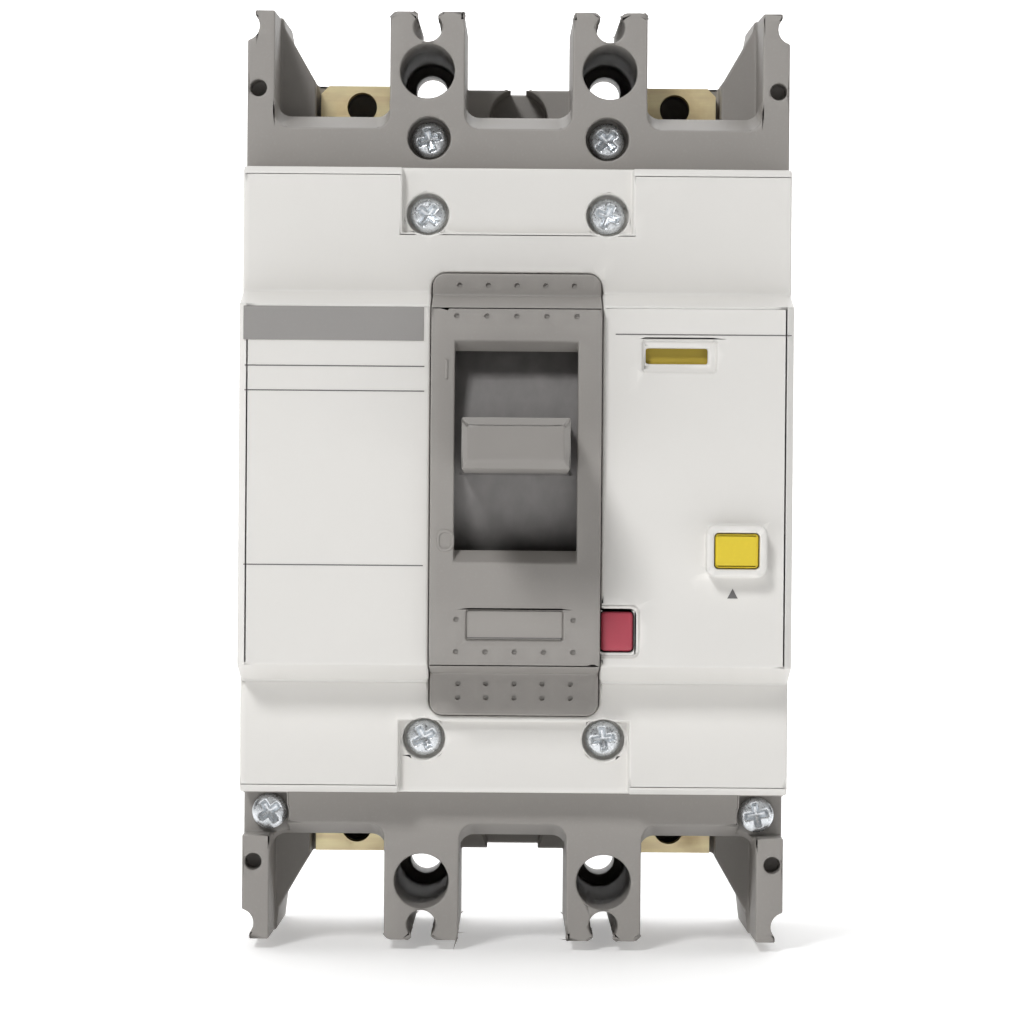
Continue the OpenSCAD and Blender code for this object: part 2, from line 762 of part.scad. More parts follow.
module crossbar() color([0.5, 0.35, 0.22]) upright() {
    reach = body_w / 2 - wall - 1.4;
    lug = unit(crank_at - crossbar_at);
    side = 2.2 * [lug[1], -lug[0]];
    difference() {
        union() {
            bar(-reach, reach, crossbar_at, crossbar_r);
            both_sides() {
                across(2.4, link_in - 0.2, [
                    crossbar_at + side, crank_at + side, crank_at - side, crossbar_at - side
                ]);
                bar(2.4, link_in - 0.2, crank_at, 2.4);
                turned() span(
                    [pole_x - arm_w / 2 - 2.2, crossbar_at[0] + 1.3, crossbar_at[1] - 3.4],
                    [pole_x + arm_w / 2 + 2.2, crossbar_at[0] + 12, crossbar_at[1] + 7]);
            }
        }
        bar(-reach, reach, crank_at, pin_r);
        both_sides() turned() {
            // seat of the contact arm
            span([pole_x - arm_w / 2 - 0.2, crossbar_at[0] - 7, crossbar_at[1] - 1.7],
                [pole_x + arm_w / 2 + 0.2, crossbar_at[0] + 13, crossbar_at[1] + 1.9]);
            // room for the contact spring
            span([pole_x - 2.2, crossbar_at[0] + 6.5, crossbar_at[1] + 1.5],
                [pole_x + 2.2, crossbar_at[0] + 13, crossbar_at[1] + 5.6]);
            bar(pole_x - arm_w / 2 - 2.7, pole_x + arm_w / 2 + 2.7, crossbar_at + [9, 0], 1);
        }
    }
}

module crank_pin() color([0.8, 0.8, 0.8]) upright() {
    x1 = link_in + 2 * link_t + link_gap;
    bar(-x1, x1, crank_at, pin_r);
}

// Turns what is drawn with the contacts closed to the tripped place
module turned()
    translate([0, crossbar_at[0], crossbar_at[1]]) rotate([open_angle, 0, 0])
        translate([0, -crossbar_at[0], -crossbar_at[1]]) children();

module contact_arm() {
    x0 = pole_x - arm_w / 2;
    y0 = crossbar_at[0];
    z0 = crossbar_at[1];
    turned() difference() {
        union() {
            across(x0, x0 + arm_w, [
                [y0 - 6, z0 - 1.4], [y0 + arm_reach, z0 - 1.4], [y0 + arm_reach, z0 + 0.6],
                [y0 + arm_reach - 4, z0 + 1.6], [y0 - 6, z0 + 1.6]
            ]);
        }
        bar(x0 - 1, x0 + arm_w + 1, crossbar_at + [9, 0], 1);
    }
}

module left_contact_arm() color([0.8, 0.5, 0.32]) upright() mirror([1, 0, 0]) contact_arm();
module right_contact_arm() color([0.8, 0.5, 0.32]) upright() contact_arm();

module arm_pins() color([0.8, 0.8, 0.8]) upright() both_sides() turned()
    bar(pole_x - arm_w / 2 - 2.2, pole_x + arm_w / 2 + 2.2, crossbar_at + [9, 0], 1);

module contact_springs() color([0.78, 0.79, 0.8]) upright() both_sides() turned()
    translate([pole_x, crossbar_at[0] + 9, crossbar_at[1] + 1.95]) coil(1.7, 0.3, 3, 3.6);

module moving_tips() color([0.82, 0.82, 0.8]) upright() both_sides() turned()
    span([pole_x - 2.5, crossbar_at[0] + arm_reach - 5, crossbar_at[1] - 1.4 - tip_t],
        [pole_x + 2.5, crossbar_at[0] + arm_reach - 0.5, crossbar_at[1] - 1.4]);

module fixed_tips() color([0.82, 0.82, 0.8]) upright() both_sides()
    span([pole_x - 2.5, crossbar_at[0] + arm_reach - 5, strip_bed_z + strip_bed_t],
        [pole_x + 2.5, crossbar_at[0] + arm_reach - 0.5, crossbar_at[1] - 1.5 - tip_t]);

module terminal_pad() difference() {
    span([pole_x - pad_w / 2, inner_y - 4, pad_z],
        [pole_x + pad_w / 2, ledge_y - 0.2, pad_z + pad_t]);
    post(pad_z - 1, pad_z + pad_t + 1, [pole_x - 0.8, tap_y], tap_r);
    translate([pole_x + pad_w / 2, ledge_y - 0.2, pad_z - 1]) rotate([0, 0, 45])
        cube([1.6, 1.6, 12], center = true);
}

module line_terminal() {
    terminal_pad();
    span([pole_x - 4, inner_y - 4, strip_bed_z], [pole_x + 4, inner_y - 1.5, pad_z]);
    span([pole_x - 4, crossbar_at[0] + arm_reach - 6, strip_bed_z],
        [pole_x + 4, inner_y - 4, strip_bed_z + strip_bed_t]);
}

module left_line_terminal() color([0.78, 0.65, 0.35]) upright() mirror([1, 0, 0]) line_terminal();
module right_line_terminal() color([0.78, 0.65, 0.35]) upright() line_terminal();

module arc_stack() for (i = [0 : arc_plates - 1]) {
    z = 11.2 + 2.5 * i;
    difference() {
        span([pole_x - 7, chute_y, z], [pole_x + 7, chute_y + chute_l, z + 1]);
        translate([0, 0, z - 1]) linear_extrude(3) polygon([
            [pole_x - 4.4, chute_y - 1], [pole_x + 4.4, chute_y - 1],
            [pole_x + 3.4, chute_y + 4], [pole_x, chute_y + 7], [pole_x - 3.4, chute_y + 4]
        ]);
    }
}

module left_arc_plates() color([0.6, 0.62, 0.66]) upright() mirror([1, 0, 0]) arc_stack();
module right_arc_plates() color([0.6, 0.62, 0.66]) upright() arc_stack();

module arc_chute_frames() color([0.75, 0.5, 0.4]) upright() both_sides()
    for (x = [pole_x - 7.8, pole_x + 7])
        span([x, chute_y - 1, 9.5], [x + 0.8, chute_y + chute_l, 12.5 + 2.5 * arc_plates]);

module braids() color([0.75, 0.45, 0.28]) upright() both_sides() wire([
    [pole_x, -3.6, 10.4], [pole_x, -7.5, 6.8], [pole_x, -12, 5], [pole_x, bimetal_y + 1.6, 6.4]
], 1.3);

// ---------- trip unit ----------

module bimetals() color([0.66, 0.63, 0.58]) upright() both_sides() {
    difference() {
        span([pole_x - 3, bimetal_y, 5], [pole_x + 3, bimetal_y + 0.9, setting_z + 1.2]);
        rod(bimetal_y - 1, bimetal_y + 2, [pole_x, setting_z], setting_r);
    }
}

module setting_screws() color([0.78, 0.68, 0.4]) upright() both_sides() {
    rod(bimetal_y - 1.5, trip_bar_at[0] - 0.4, [pole_x, setting_z], setting_r);
    rod(bimetal_y - 2.2, bimetal_y - 1.5, [pole_x, setting_z], 1.4);
}

module magnet_yokes() color([0.55, 0.56, 0.58]) upright() both_sides() {
    span([pole_x - 5.6, yoke_y, floor_t], [pole_x + 5.6, yoke_y + 1.2, 20]);
    for (x = [pole_x - 5.6, pole_x + 4.6]) {
        span([x, yoke_y, floor_t], [x + 1, armature_y - 1.6, 20]);
        difference() {
            span([x, yoke_y, 18.8], [x + 1, armature_y + 2.4, armature_pin_z + 2.2]);
            bar(x - 1, x + 2, [armature_y + 0.5, armature_pin_z], 0.8);
        }
    }
}

module armature() {
    difference() {
        union() {
            span([pole_x - 5.4, armature_y, 9], [pole_x + 5.4, armature_y + 1, 18.2]);
            span([pole_x - 4.3, armature_y, 18], [pole_x + 4.3, armature_y + 1, 23]);
            span([pole_x - 2, armature_y, 22], [pole_x + 2, armature_y + 1, 26.3]);
            bar(pole_x - 4.3, pole_x + 4.3, [armature_y + 0.5, armature_pin_z], 1.5);
        }
        bar(pole_x - 7, pole_x + 7, [armature_y + 0.5, armature_pin_z], 0.8 + run_gap);
    }
}

module left_armature() color([0.5, 0.52, 0.55]) upright() mirror([1, 0, 0]) armature();
module right_armature() color([0.5, 0.52, 0.55]) upright() armature();

module armature_pins() color([0.8, 0.8, 0.8]) upright() both_sides()
    bar(pole_x - 5.6, pole_x + 5.6, [armature_y + 0.5, armature_pin_z], 0.8);

module trip_bar() color([0.3, 0.3, 0.32]) upright() {
    reach = body_w / 2 - wall - 2.4;
    y0 = trip_bar_at[0];
    z0 = trip_bar_at[1];
    bar(-reach, reach, trip_bar_at, trip_bar_r);
    both_sides() {
        // flags in front of the bimetals
        span([pole_x - 2.6, y0 + 0.6, z0 - 5], [pole_x + 2.6, y0 + 1.6, z0]);
        // fork around the stem of the trip coil
        span([1.5, y0 - 0.7, z0], [3.3, y0 + 0.7, z0 + 8]);
    }
    // finger under the trip button
    span([trip_at[0] - 1.9, trip_at[1] - 1.6, z0 - 0.7], [trip_at[0] + 1.9, y0, z0 + 0.7]);
}

module trip_bar_spring() color([0.78, 0.79, 0.8]) upright()
    translate([6.4, trip_bar_at[0], trip_bar_at[1]]) rotate([0, 90, 0])
        coil(trip_bar_r + 0.6, 0.3, 4, 3.6);

module load_terminals() color([0.78, 0.65, 0.35]) upright() mirror([0, 1, 0]) both_sides() {
    difference() {
        span([pole_x - pad_w / 2, inner_y - 4, pad_z],
            [pole_x + pad_w / 2, load_pad_y, pad_z + pad_t]);
        post(pad_z - 1, pad_z + pad_t + 1, [pole_x - 0.8, load_tap_y], tap_r);
    }
    span([pole_x - 4, inner_y - 4, 9], [pole_x + 4, inner_y - 2, pad_z]);
}

module load_conductors() color([0.8, 0.5, 0.32]) upright() both_sides() {
    front = sensor_at[0] + sensor_l / 2;
    back = sensor_at[0] - sensor_l / 2;
    z = sensor_at[1];
    wire([
        [pole_x - 3, yoke_y - 2.1, z - 8], [11, front + 2.1, z - 4], [5.4, front + 1.6, z - 0.8],
        [3.1, front - 1.5, z], [3.1, back + 1.5, z], [5.4, back - 1.6, z - 0.8],
        [11, back - 2.1, z - 2], [pole_x - 2, back - 2.1, z - 3]
    ], 1.6);
}

module ring(y0, y1, r0, r1) difference() {
    rod(y0, y1, [0, sensor_at[1]], r1);
    rod(y0 - 1, y1 + 1, [0, sensor_at[1]], r0);
}

module sensor_core() color([0.75, 0.45, 0.25]) upright()
    ring(sensor_at[0] - sensor_l / 2 + 1, sensor_at[0] + sensor_l / 2 - 1, 7, 10.4);

module sensor_housing() color([0.25, 0.26, 0.3]) upright() difference() {
    ring(sensor_at[0] - sensor_l / 2, sensor_at[0] + sensor_l / 2, 6, 11.4);
    ring(sensor_at[0] - sensor_l / 2 + 1, sensor_at[0] + sensor_l / 2 - 1, 7, 10.4);
}

module sensor_leads() color([0.85, 0.85, 0.8]) upright() for (s = [0, 1]) wire([
    [-9.4, sensor_at[0] - 2 + 4 * s, 22.6], [-17 - 2 * s, -23, 30],
    [-21.1 - 1.8 * s, -20, 36], [-21.1 - 1.8 * s, -20, board_z - 0.1]
], 0.45);

module circuit_board() color([0.1, 0.42, 0.24]) upright()
    span([board_at[0] - board_size[0] / 2, board_at[1] - board_size[1] / 2, board_z],
        [board_at[0] + board_size[0] / 2, board_at[1] + board_size[1] / 2,
         board_z + board_size[2]]);

module board_components() color([0.2, 0.2, 0.22]) upright() {
    z = board_z + board_size[2];
    // control chip, varistor, capacitors, small chips
    span([-27, -4, z], [-21, 2, z + 1.6]);
    span([-19.5, -12, z], [-15.8, -3, z + 6]);
    for (y = [8, 14.5]) post(z, z + 7.5, [-30, y], 2.8);
    for (y = [-18, -14.6, -11.2]) span([-32.5, y, z], [-28, y + 2, z + 1.4]);
    for (x = [-24.5, -20.5]) post(z, z + 4, [x, 15], 1.4);
}

module test_resistor() color([0.8, 0.7, 0.5]) upright() {
    z = board_z + board_size[2];
    rod(-19, -10, [-23.5, z + 2], 1.7);
    for (y = [-20.4, -8.9]) post(z, z + 2.3, [-23.5, y], 0.3);
    rod(-20.4, -19, [-23.5, z + 2], 0.3);
    rod(-10, -8.9, [-23.5, z + 2], 0.3);
}

module coil_frame() color([0.6, 0.62, 0.65]) upright() {
    y0 = coil_at[0] - 7.5;
    difference() {
        span([-6, y0, coil_at[1] - 5.7], [6, y0 + 15, coil_at[1] + 5.2]);
        span([-7, y0 + 1, coil_at[1] - 4.9], [7, y0 + 14, coil_at[1] + 6]);
        rod(y0 + 5, y0 + 16, [0, coil_at[1]], 1.7);
    }
}

module trip_coil() color([0.7, 0.32, 0.2]) upright() difference() {
    rod(coil_at[0] - 6.5, coil_at[0] + 6.5, [0, coil_at[1]], 4.7);
    rod(coil_at[0] - 4, coil_at[0] + 8, [0, coil_at[1]], 1.7);
}

module trip_plunger() color([0.75, 0.76, 0.78]) upright() {
    rod(coil_at[0] - 1.5, coil_at[0] + 8.5, [0, coil_at[1]], 1.6);
    rod(coil_at[0] + 8.5, trip_bar_at[0] + 3.2, [0, coil_at[1]], 1);
    rod(trip_bar_at[0] + 3.2, trip_bar_at[0] + 4.2, [0, coil_at[1]], 2.4);
}

// ---------- buttons and flag ----------

module test_button() color([0.93, 0.85, 0.2]) upright() {
    pad(test_at, test_w, test_l, 0.5, face_z - roof_face_t - 1, face_z + collar_rise - 0.5);
    pad(test_at, test_w + 1.6, test_l + 1.6, 0.5, face_z - roof_face_t - 1.6,
        face_z - roof_face_t - 0.2);
    post(deck_d + 3.6, face_z - roof_face_t - 1.5, test_at, 1.5);
}

module test_spring() color([0.78, 0.79, 0.8]) upright()
    translate([test_at[0], test_at[1], deck_d + 0.1])
        coil(2.2, 0.3, 5, face_rise - roof_face_t - 1.9);

module test_contacts() color([0.8, 0.65, 0.4]) upright() {
    span([test_at[0] - 1.2, test_at[1] - 1.2, deck_d], [test_at[0] + 1.2, test_at[1] + 1.2,
        deck_d + 0.5]);
    span([test_at[0] - 1.2, test_at[1] - 1.2, deck_d + 1.1], [test_at[0] + 1.2,
        test_at[1] + 1.2, deck_d + 1.5]);
    span([test_at[0] - 1.2, test_at[1] - 1.2, deck_d + 0.5], [test_at[0] - 0.8,
        test_at[1] + 1.2, deck_d + 1.1]);
}

module trip_button() color([0.72, 0.2, 0.26]) upright() {
    pad(trip_at, trip_w, trip_l, 0.6, face_z - 5, face_z - 0.3);
    span([trip_at[0] - 1.25, trip_at[1] - 1.25, trip_bar_at[1] + 1],
        [trip_at[0] + 1.25, trip_at[1] + 1.25, face_z - 4.5]);
}

module trip_button_spring() color([0.78, 0.79, 0.8]) upright()
    translate([trip_at[0], trip_at[1], deck_d + 0.1]) coil(2.05, 0.2, 6, face_rise - 5.2);

module leak_flag() color([0.93, 0.85, 0.2]) upright() {
    z = face_z - roof_face_t - 1.8;
    span([flag_at[0] - 5.6, flag_at[1] - 5, z], [flag_at[0] + 5.6, flag_at[1] + 1.6, z + 1.4]);
    span([flag_at[0] - 5.6, -8, z], [flag_at[0] - 3.6, flag_at[1] - 4, z + 1.4]);
}

base();
main_cover();
front_cover();
main_cover_screws();
front_cover_screws();
rating_plate();
name_band();
handle();
handle_arm();
handle_pivots();
side_plates();
spacer_pins();
cradle();
cradle_pin();
upper_links();
link_pin();
lower_links();
knee_pin();
main_springs();
latch();
latch_pin();
trip_bar();
trip_bar_spring();
crossbar();
crank_pin();
left_contact_arm();
right_contact_arm();
arm_pins();
contact_springs();
moving_tips();
fixed_tips();
left_line_terminal();
right_line_terminal();
left_arc_plates();
right_arc_plates();
arc_chute_frames();
braids();
bimetals();
setting_screws();
magnet_yokes();
left_armature();
right_armature();
armature_pins();
load_terminals();
load_conductors();
sensor_core();
sensor_housing();
sensor_leads();
circuit_board();
board_components();
test_resistor();
coil_frame();
trip_coil();
trip_plunger();
test_button();
test_spring();
test_contacts();
trip_button();
trip_button_spring();
leak_flag();
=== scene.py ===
import bpy
import bmesh
import json
import math
from mathutils import Matrix, Vector


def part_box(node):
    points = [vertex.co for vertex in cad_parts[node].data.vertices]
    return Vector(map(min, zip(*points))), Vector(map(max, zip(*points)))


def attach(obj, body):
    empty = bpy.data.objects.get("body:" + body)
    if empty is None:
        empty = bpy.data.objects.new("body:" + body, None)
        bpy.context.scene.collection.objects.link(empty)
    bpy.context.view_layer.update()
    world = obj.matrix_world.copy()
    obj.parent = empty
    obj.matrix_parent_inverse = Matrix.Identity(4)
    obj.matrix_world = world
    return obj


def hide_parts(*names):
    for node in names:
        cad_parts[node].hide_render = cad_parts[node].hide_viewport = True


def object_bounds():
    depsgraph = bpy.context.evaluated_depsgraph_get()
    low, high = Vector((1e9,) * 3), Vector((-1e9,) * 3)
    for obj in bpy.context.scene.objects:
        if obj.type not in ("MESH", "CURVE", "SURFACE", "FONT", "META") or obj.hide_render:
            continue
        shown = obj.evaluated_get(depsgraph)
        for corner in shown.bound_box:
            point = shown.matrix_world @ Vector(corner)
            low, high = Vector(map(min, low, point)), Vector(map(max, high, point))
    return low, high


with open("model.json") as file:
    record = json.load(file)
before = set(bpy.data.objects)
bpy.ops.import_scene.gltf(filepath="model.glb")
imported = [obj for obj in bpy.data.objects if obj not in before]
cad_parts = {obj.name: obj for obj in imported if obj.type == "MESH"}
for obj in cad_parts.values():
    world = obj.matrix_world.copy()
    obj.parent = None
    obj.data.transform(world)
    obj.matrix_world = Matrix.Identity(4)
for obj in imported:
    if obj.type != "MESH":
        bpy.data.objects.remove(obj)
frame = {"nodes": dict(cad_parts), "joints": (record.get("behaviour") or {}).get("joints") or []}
cadLow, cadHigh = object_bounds()
nodes = frame["nodes"]
mm = 0.001
print("stage: frame loaded,", len(nodes), "nodes")


class Value:
    # a socket that can be used in plain Python sums
    def __init__(self, finish, socket):
        self.finish = finish
        self.socket = socket

    def maths(self, operation, *terms):
        settings = {"operation": operation}
        return self.finish.node("ShaderNodeMath", settings, dict(enumerate(terms)))

    def __add__(self, other):
        return self.maths("ADD", self, other)

    def __radd__(self, other):
        return self.maths("ADD", other, self)

    def __sub__(self, other):
        return self.maths("SUBTRACT", self, other)

    def __rsub__(self, other):
        return self.maths("SUBTRACT", other, self)

    def __mul__(self, other):
        return self.maths("MULTIPLY", self, other)

    def __rmul__(self, other):
        return self.maths("MULTIPLY", other, self)

    def __gt__(self, other):
        return self.maths("GREATER_THAN", self, other)

    def __lt__(self, other):
        return self.maths("LESS_THAN", self, other)


class Finish:
    # one material: its nodes are added by node() and by sums of Values
    def __init__(self, name, **settings):
        self.material = bpy.data.materials.new(name)
        self.material.use_nodes = True
        self.tree = self.material.node_tree
        self.shader = self.tree.nodes["Principled BSDF"]
        for socket, value in settings.items():
            self.shader.inputs[socket.replace("_", " ")].default_value = value
        self.place = self.node("ShaderNodeTexCoord", {}, {}, "Object")

    def node(self, kind, settings, inputs, output=0):
        made = self.tree.nodes.new(kind)
        for key, value in settings.items():
            setattr(made, key, value)
        for key, value in inputs.items():
            if isinstance(value, Value):
                self.tree.links.new(value.socket, made.inputs[key])
            else:
                made.inputs[key].default_value = value
        return Value(self, made.outputs[output])

    def feed(self, **links):
        for socket, value in links.items():
            self.tree.links.new(value.socket, self.shader.inputs[socket.replace("_", " ")])

    def noise(self, scale, detail=3.0, stretch=(1, 1, 1)):
        moved = self.node("ShaderNodeMapping", {}, {"Vector": self.place, "Scale": stretch})
        inputs = {"Vector": moved, "Scale": scale, "Detail": detail}
        return self.node("ShaderNodeTexNoise", {}, inputs)

    def ramp(self, value, low, high):
        # 0 below low, 1 above high
        return self.node("ShaderNodeMapRange", {"clamp": True},
                         {"Value": value, "From Min": low, "From Max": high})

    def mix(self, factor, first, second):
        inputs = {0: factor, 6: first, 7: second}  # the colour sockets
        return self.node("ShaderNodeMix", {"data_type": "RGBA"}, inputs, 2)

    def axis(self, letter):
        return self.node("ShaderNodeSeparateXYZ", {}, {0: self.place}, "XYZ".index(letter))

    def bump(self, height, strength, distance):
        inputs = {"Height": height, "Strength": strength, "Distance": distance}
        return self.node("ShaderNodeBump", {}, inputs)

    def edges(self, low=0.52, high=0.62):
        # 1 along worn corners
        bent = self.node("ShaderNodeNewGeometry", {}, {}, "Pointiness")
        return self.ramp(bent, low, high)


def shade(colour, factor):
    return tuple(min(1, c * factor) for c in colour[:3]) + (1,)


# sizes of the patterns, per metre, and depths of the bumps
pattern = dict(flow=70, speck=2600, grain=5200, lines=900, stain=180, patch=1500, toolMark=3800,
               fineDepth=0.00004, lineDepth=0.00003, plateDepth=0.00005, wireDepth=0.0002)


def moulded(name, colour, rough, grain=0.12, mottle=0.05, gloss=0.0, dust=0.12):
    # matt or satin plastic with spark-eroded grain, flow marks and light rubbed corners
    f = Finish(name, Roughness=rough, Coat_Weight=gloss, IOR=1.5)
    cloud = f.noise(pattern["flow"], 4)
    speck = f.noise(pattern["speck"], 2)
    body = f.mix(cloud, shade(colour, 1 - mottle), shade(colour, 1 + mottle))
    dusty = f.mix(f.ramp(speck, 0.56, 0.72) * dust, body, shade(colour, 1.35))
    rubbed = f.mix(f.edges() * 0.35, dusty, shade(colour, 1.25))
    fine = f.noise(pattern["grain"], 2)
    f.feed(Base_Color=rubbed, Roughness=f.ramp(cloud, 0.2, 0.8) * 0.14 + (rough - 0.07),
           Normal=f.bump(fine + speck * 0.6, grain, pattern["fineDepth"]))
    return f.material


def rolled(name, colour, rough, stretch, stain=0.15, tint=None):
    # rolled or drawn metal: fine lines one way, with stains
    f = Finish(name, Metallic=1.0, Roughness=rough)
    lines = f.noise(pattern["lines"], 3, stretch)
    stains = f.noise(pattern["stain"], 4)
    body = f.mix(f.ramp(lines, 0.3, 0.7), shade(colour, 0.86), shade(colour, 1.1))
    aged = f.mix(f.ramp(stains, 0.5, 0.75) * (4 * stain), body, tint or shade(colour, 0.6))
    f.feed(Base_Color=aged, Roughness=f.ramp(stains, 0.3, 0.7) * 0.2 + (rough - 0.08),
           Normal=f.bump(lines, 0.25, pattern["lineDepth"]))
    return f.material


def plated(name, colour, rough):
    # bright zinc: blotchy, bluish, with tool marks
    f = Finish(name, Metallic=1.0, Roughness=rough)
    patch = f.noise(pattern["patch"], 4)
    tone = f.mix(f.ramp(patch, 0.35, 0.65), shade(colour, 0.88), shade(colour, 1.06))
    scratch = f.noise(pattern["toolMark"], 3)
    f.feed(Base_Color=tone, Roughness=f.ramp(scratch, 0.3, 0.8) * 0.3 + (rough - 0.1),
           Normal=f.bump(scratch + patch, 0.2, pattern["plateDepth"]))
    return f.material


turnsPerPitch = 0.314  # scale of the wave texture that gives one turn to a pitch


def wound(name, colour, pitch, across):
    # enamelled winding: close turns along one direction, with painted shade in the grooves between
    # the turns
    f = Finish(name, Roughness=0.32, Coat_Weight=0.6, Metallic=0.35)
    turnsAndShade = f.node("ShaderNodeTexWave", {"bands_direction": across},
                   {"Vector": f.place, "Scale": turnsPerPitch / pitch, "Distortion": 0.4})
    # the dark half of each band is painted shade between the turns, not a colour of the enamel
    f.feed(Base_Color=f.mix(turnsAndShade, shade(colour, 0.35), shade(colour, 1.15)),
           Normal=f.bump(turnsAndShade, 0.7, pattern["wireDepth"]))
    return f.material


def laminate(name):
    # green board with copper tracks under the mask
    f = Finish(name, Roughness=0.35, Coat_Weight=0.3)
    trackScale, mask, track = 420.0, (0.010, 0.075, 0.030, 1), (0.03, 0.19, 0.07, 1)
    cells = f.node("ShaderNodeTexVoronoi", {"distance": "MANHATTAN"},
                   {"Vector": f.place, "Scale": trackScale})
    tracks = f.ramp(cells, 0.42, 0.46)
    f.feed(Base_Color=f.mix(tracks, mask, track),
           Normal=f.bump(tracks, 0.4, pattern["plateDepth"]))
    return f.material


knobFinish = dict(cloud=160, scuff=420, scuffStretch=(1, 1, 0.6), drumRadius=23.2 * mm,
                  drum=(0.22, 0.21, 0.205))


def twoToneHandle(name, knob, drum, pivot, drumRadius):
    # knob as moulded, and its curved shield greyer and scuffed
    f = Finish(name, Roughness=0.5, IOR=1.5)
    out = f.axis("Y") * -1 + pivot.y
    up = f.axis("Z") - pivot.z
    onDrum = (out * out + up * up) < (drumRadius * drumRadius)
    cloud = f.noise(knobFinish["cloud"], 4)
    scuff = f.noise(knobFinish["scuff"], 5, knobFinish["scuffStretch"])
    plain = f.mix(cloud, shade(knob, 0.94), shade(knob, 1.06))
    worn = f.mix(f.ramp(scuff, 0.3, 0.7), shade(drum, 0.86), shade(drum, 1.1))
    both = f.mix(onDrum, plain, worn)
    f.feed(Base_Color=f.mix(f.edges(0.53, 0.6) * 0.4, both, shade(knob, 1.3)),
           Roughness=f.ramp(scuff, 0.3, 0.8) * 0.2 + 0.4,
           Normal=f.bump(f.noise(pattern["grain"], 2), 0.12, pattern["fineDepth"]))
    return f.material


def flagFinish(name, yellow, red, split):
    # indicator flag: yellow above, red below
    f = Finish(name, Roughness=0.45)
    low = f.axis("Z") < split
    cloud, grain = f.noise(300, 3), f.noise(3000, 2)
    both = f.mix(low, yellow, red)
    f.feed(Base_Color=f.mix(cloud * 0.25, both, shade(yellow, 0.5)),
           Normal=f.bump(grain, 0.1, pattern["fineDepth"]))
    return f.material


darkGrey = (0.315, 0.298, 0.280)
whiteShell = (0.78, 0.765, 0.735)
alongX, alongZ, allWays = (0.1, 1, 1), (1, 1, 0.1), (1, 1, 1)  # which way the drawn lines run
handlePivot = next(Vector(j["pos_m"]) for j in frame["joints"] if j["name"] == "handle_tilt")
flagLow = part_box("leak_flag")[0]
flagSplit = 22.6 * mm  # height on the flag where yellow meets red

finishes = {
    "base": moulded("base_moulding", shade(darkGrey, 0.97), 0.56, 0.16),
    "cover": moulded("cover_moulding", darkGrey, 0.52, 0.14),
    "white": moulded("white_moulding", whiteShell, 0.42, 0.05, 0.012, dust=0.02),
    "handle": twoToneHandle("handle_moulding", shade(darkGrey, 0.9), knobFinish["drum"],
                            handlePivot, knobFinish["drumRadius"]),
    "zinc": plated("zinc_plate", (0.84, 0.87, 0.90), 0.3),
    "brass": rolled("terminal_brass", (0.98, 0.80, 0.50), 0.4, alongX, 0.1,
                    (0.42, 0.26, 0.10, 1)),
    "steel": rolled("plate_steel", (0.60, 0.58, 0.52), 0.35, alongZ, 0.1),
    "pin": rolled("pin_steel", (0.66, 0.66, 0.67), 0.25, alongX, 0.05),
    "wire": rolled("spring_wire", (0.58, 0.59, 0.61), 0.28, allWays, 0.05),
    "copper": rolled("bare_copper", (0.80, 0.42, 0.26), 0.32, alongZ, 0.12,
                     (0.30, 0.12, 0.07, 1)),
    "silver": rolled("contact_silver", (0.80, 0.79, 0.77), 0.3, allWays, 0.2,
                     (0.2, 0.18, 0.16, 1)),
    "bimetal": rolled("bimetal_strip", (0.52, 0.48, 0.42), 0.38, (1, 1, 0.08), 0.2),
    "phenolic": moulded("phenolic_moulding", (0.16, 0.075, 0.035), 0.4, 0.2, 0.2),
    "black": moulded("black_moulding", (0.035, 0.035, 0.04), 0.45, 0.2, 0.2),
    "fibre": moulded("red_fibre", (0.32, 0.11, 0.07), 0.7, 0.5, 0.25),
    "winding": wound("coil_winding", (0.55, 0.17, 0.07), 0.35 * mm, "Z"),
    "coreStrip": wound("core_strip", (0.45, 0.42, 0.40), 0.5 * mm, "Z"),
    "lead": moulded("lead_insulation", (0.62, 0.60, 0.52), 0.35, 0.05, 0.04, 0.3),
    "laminate": laminate("board_laminate"),
    "label": moulded("label_print", (0.285, 0.275, 0.266), 0.5, 0.03, 0.06),
    "plate": moulded("rating_recess", shade(darkGrey, 1.02), 0.45, 0.05, 0.03),
    "yellow": moulded("button_yellow", (0.78, 0.60, 0.035), 0.34, 0.03, 0.03, 0.2),
    "red": moulded("button_red", (0.44, 0.055, 0.085), 0.36, 0.03, 0.06, 0.2),
    "flag": flagFinish("flag_two_tone", (0.56, 0.42, 0.05, 1), (0.5, 0.03, 0.03, 1),
                       flagLow.z + flagSplit),
    "ink": moulded("grey_ink", (0.13, 0.125, 0.125), 0.6, 0.02, 0.03),
    "resistor": moulded("resistor_body", (0.50, 0.40, 0.24), 0.4, 0.05, 0.05, 0.3),
}

wears = {
    "base": "base", "cover": "main_cover", "white": "front_cover", "handle": "handle",
    "brass": "left_line_terminal right_line_terminal load_terminals setting_screws test_contacts",
    "steel": "handle_arm side_plates cradle upper_links lower_links latch magnet_yokes "
             "left_armature right_armature coil_frame left_arc_plates right_arc_plates",
    "pin": "handle_pivots spacer_pins cradle_pin link_pin knee_pin latch_pin crank_pin arm_pins "
           "armature_pins trip_plunger",
    "wire": "main_springs trip_bar_spring contact_springs test_spring trip_button_spring",
    "copper": "left_contact_arm right_contact_arm braids load_conductors",
    "silver": "moving_tips fixed_tips", "bimetal": "bimetals", "phenolic": "crossbar",
    "black": "trip_bar board_components sensor_housing", "fibre": "arc_chute_frames",
    "winding": "trip_coil", "coreStrip": "sensor_core", "lead": "sensor_leads",
    "laminate": "circuit_board", "label": "name_band", "plate": "rating_plate",
    "yellow": "test_button", "red": "trip_button", "flag": "leak_flag", "resistor": "test_resistor",
}


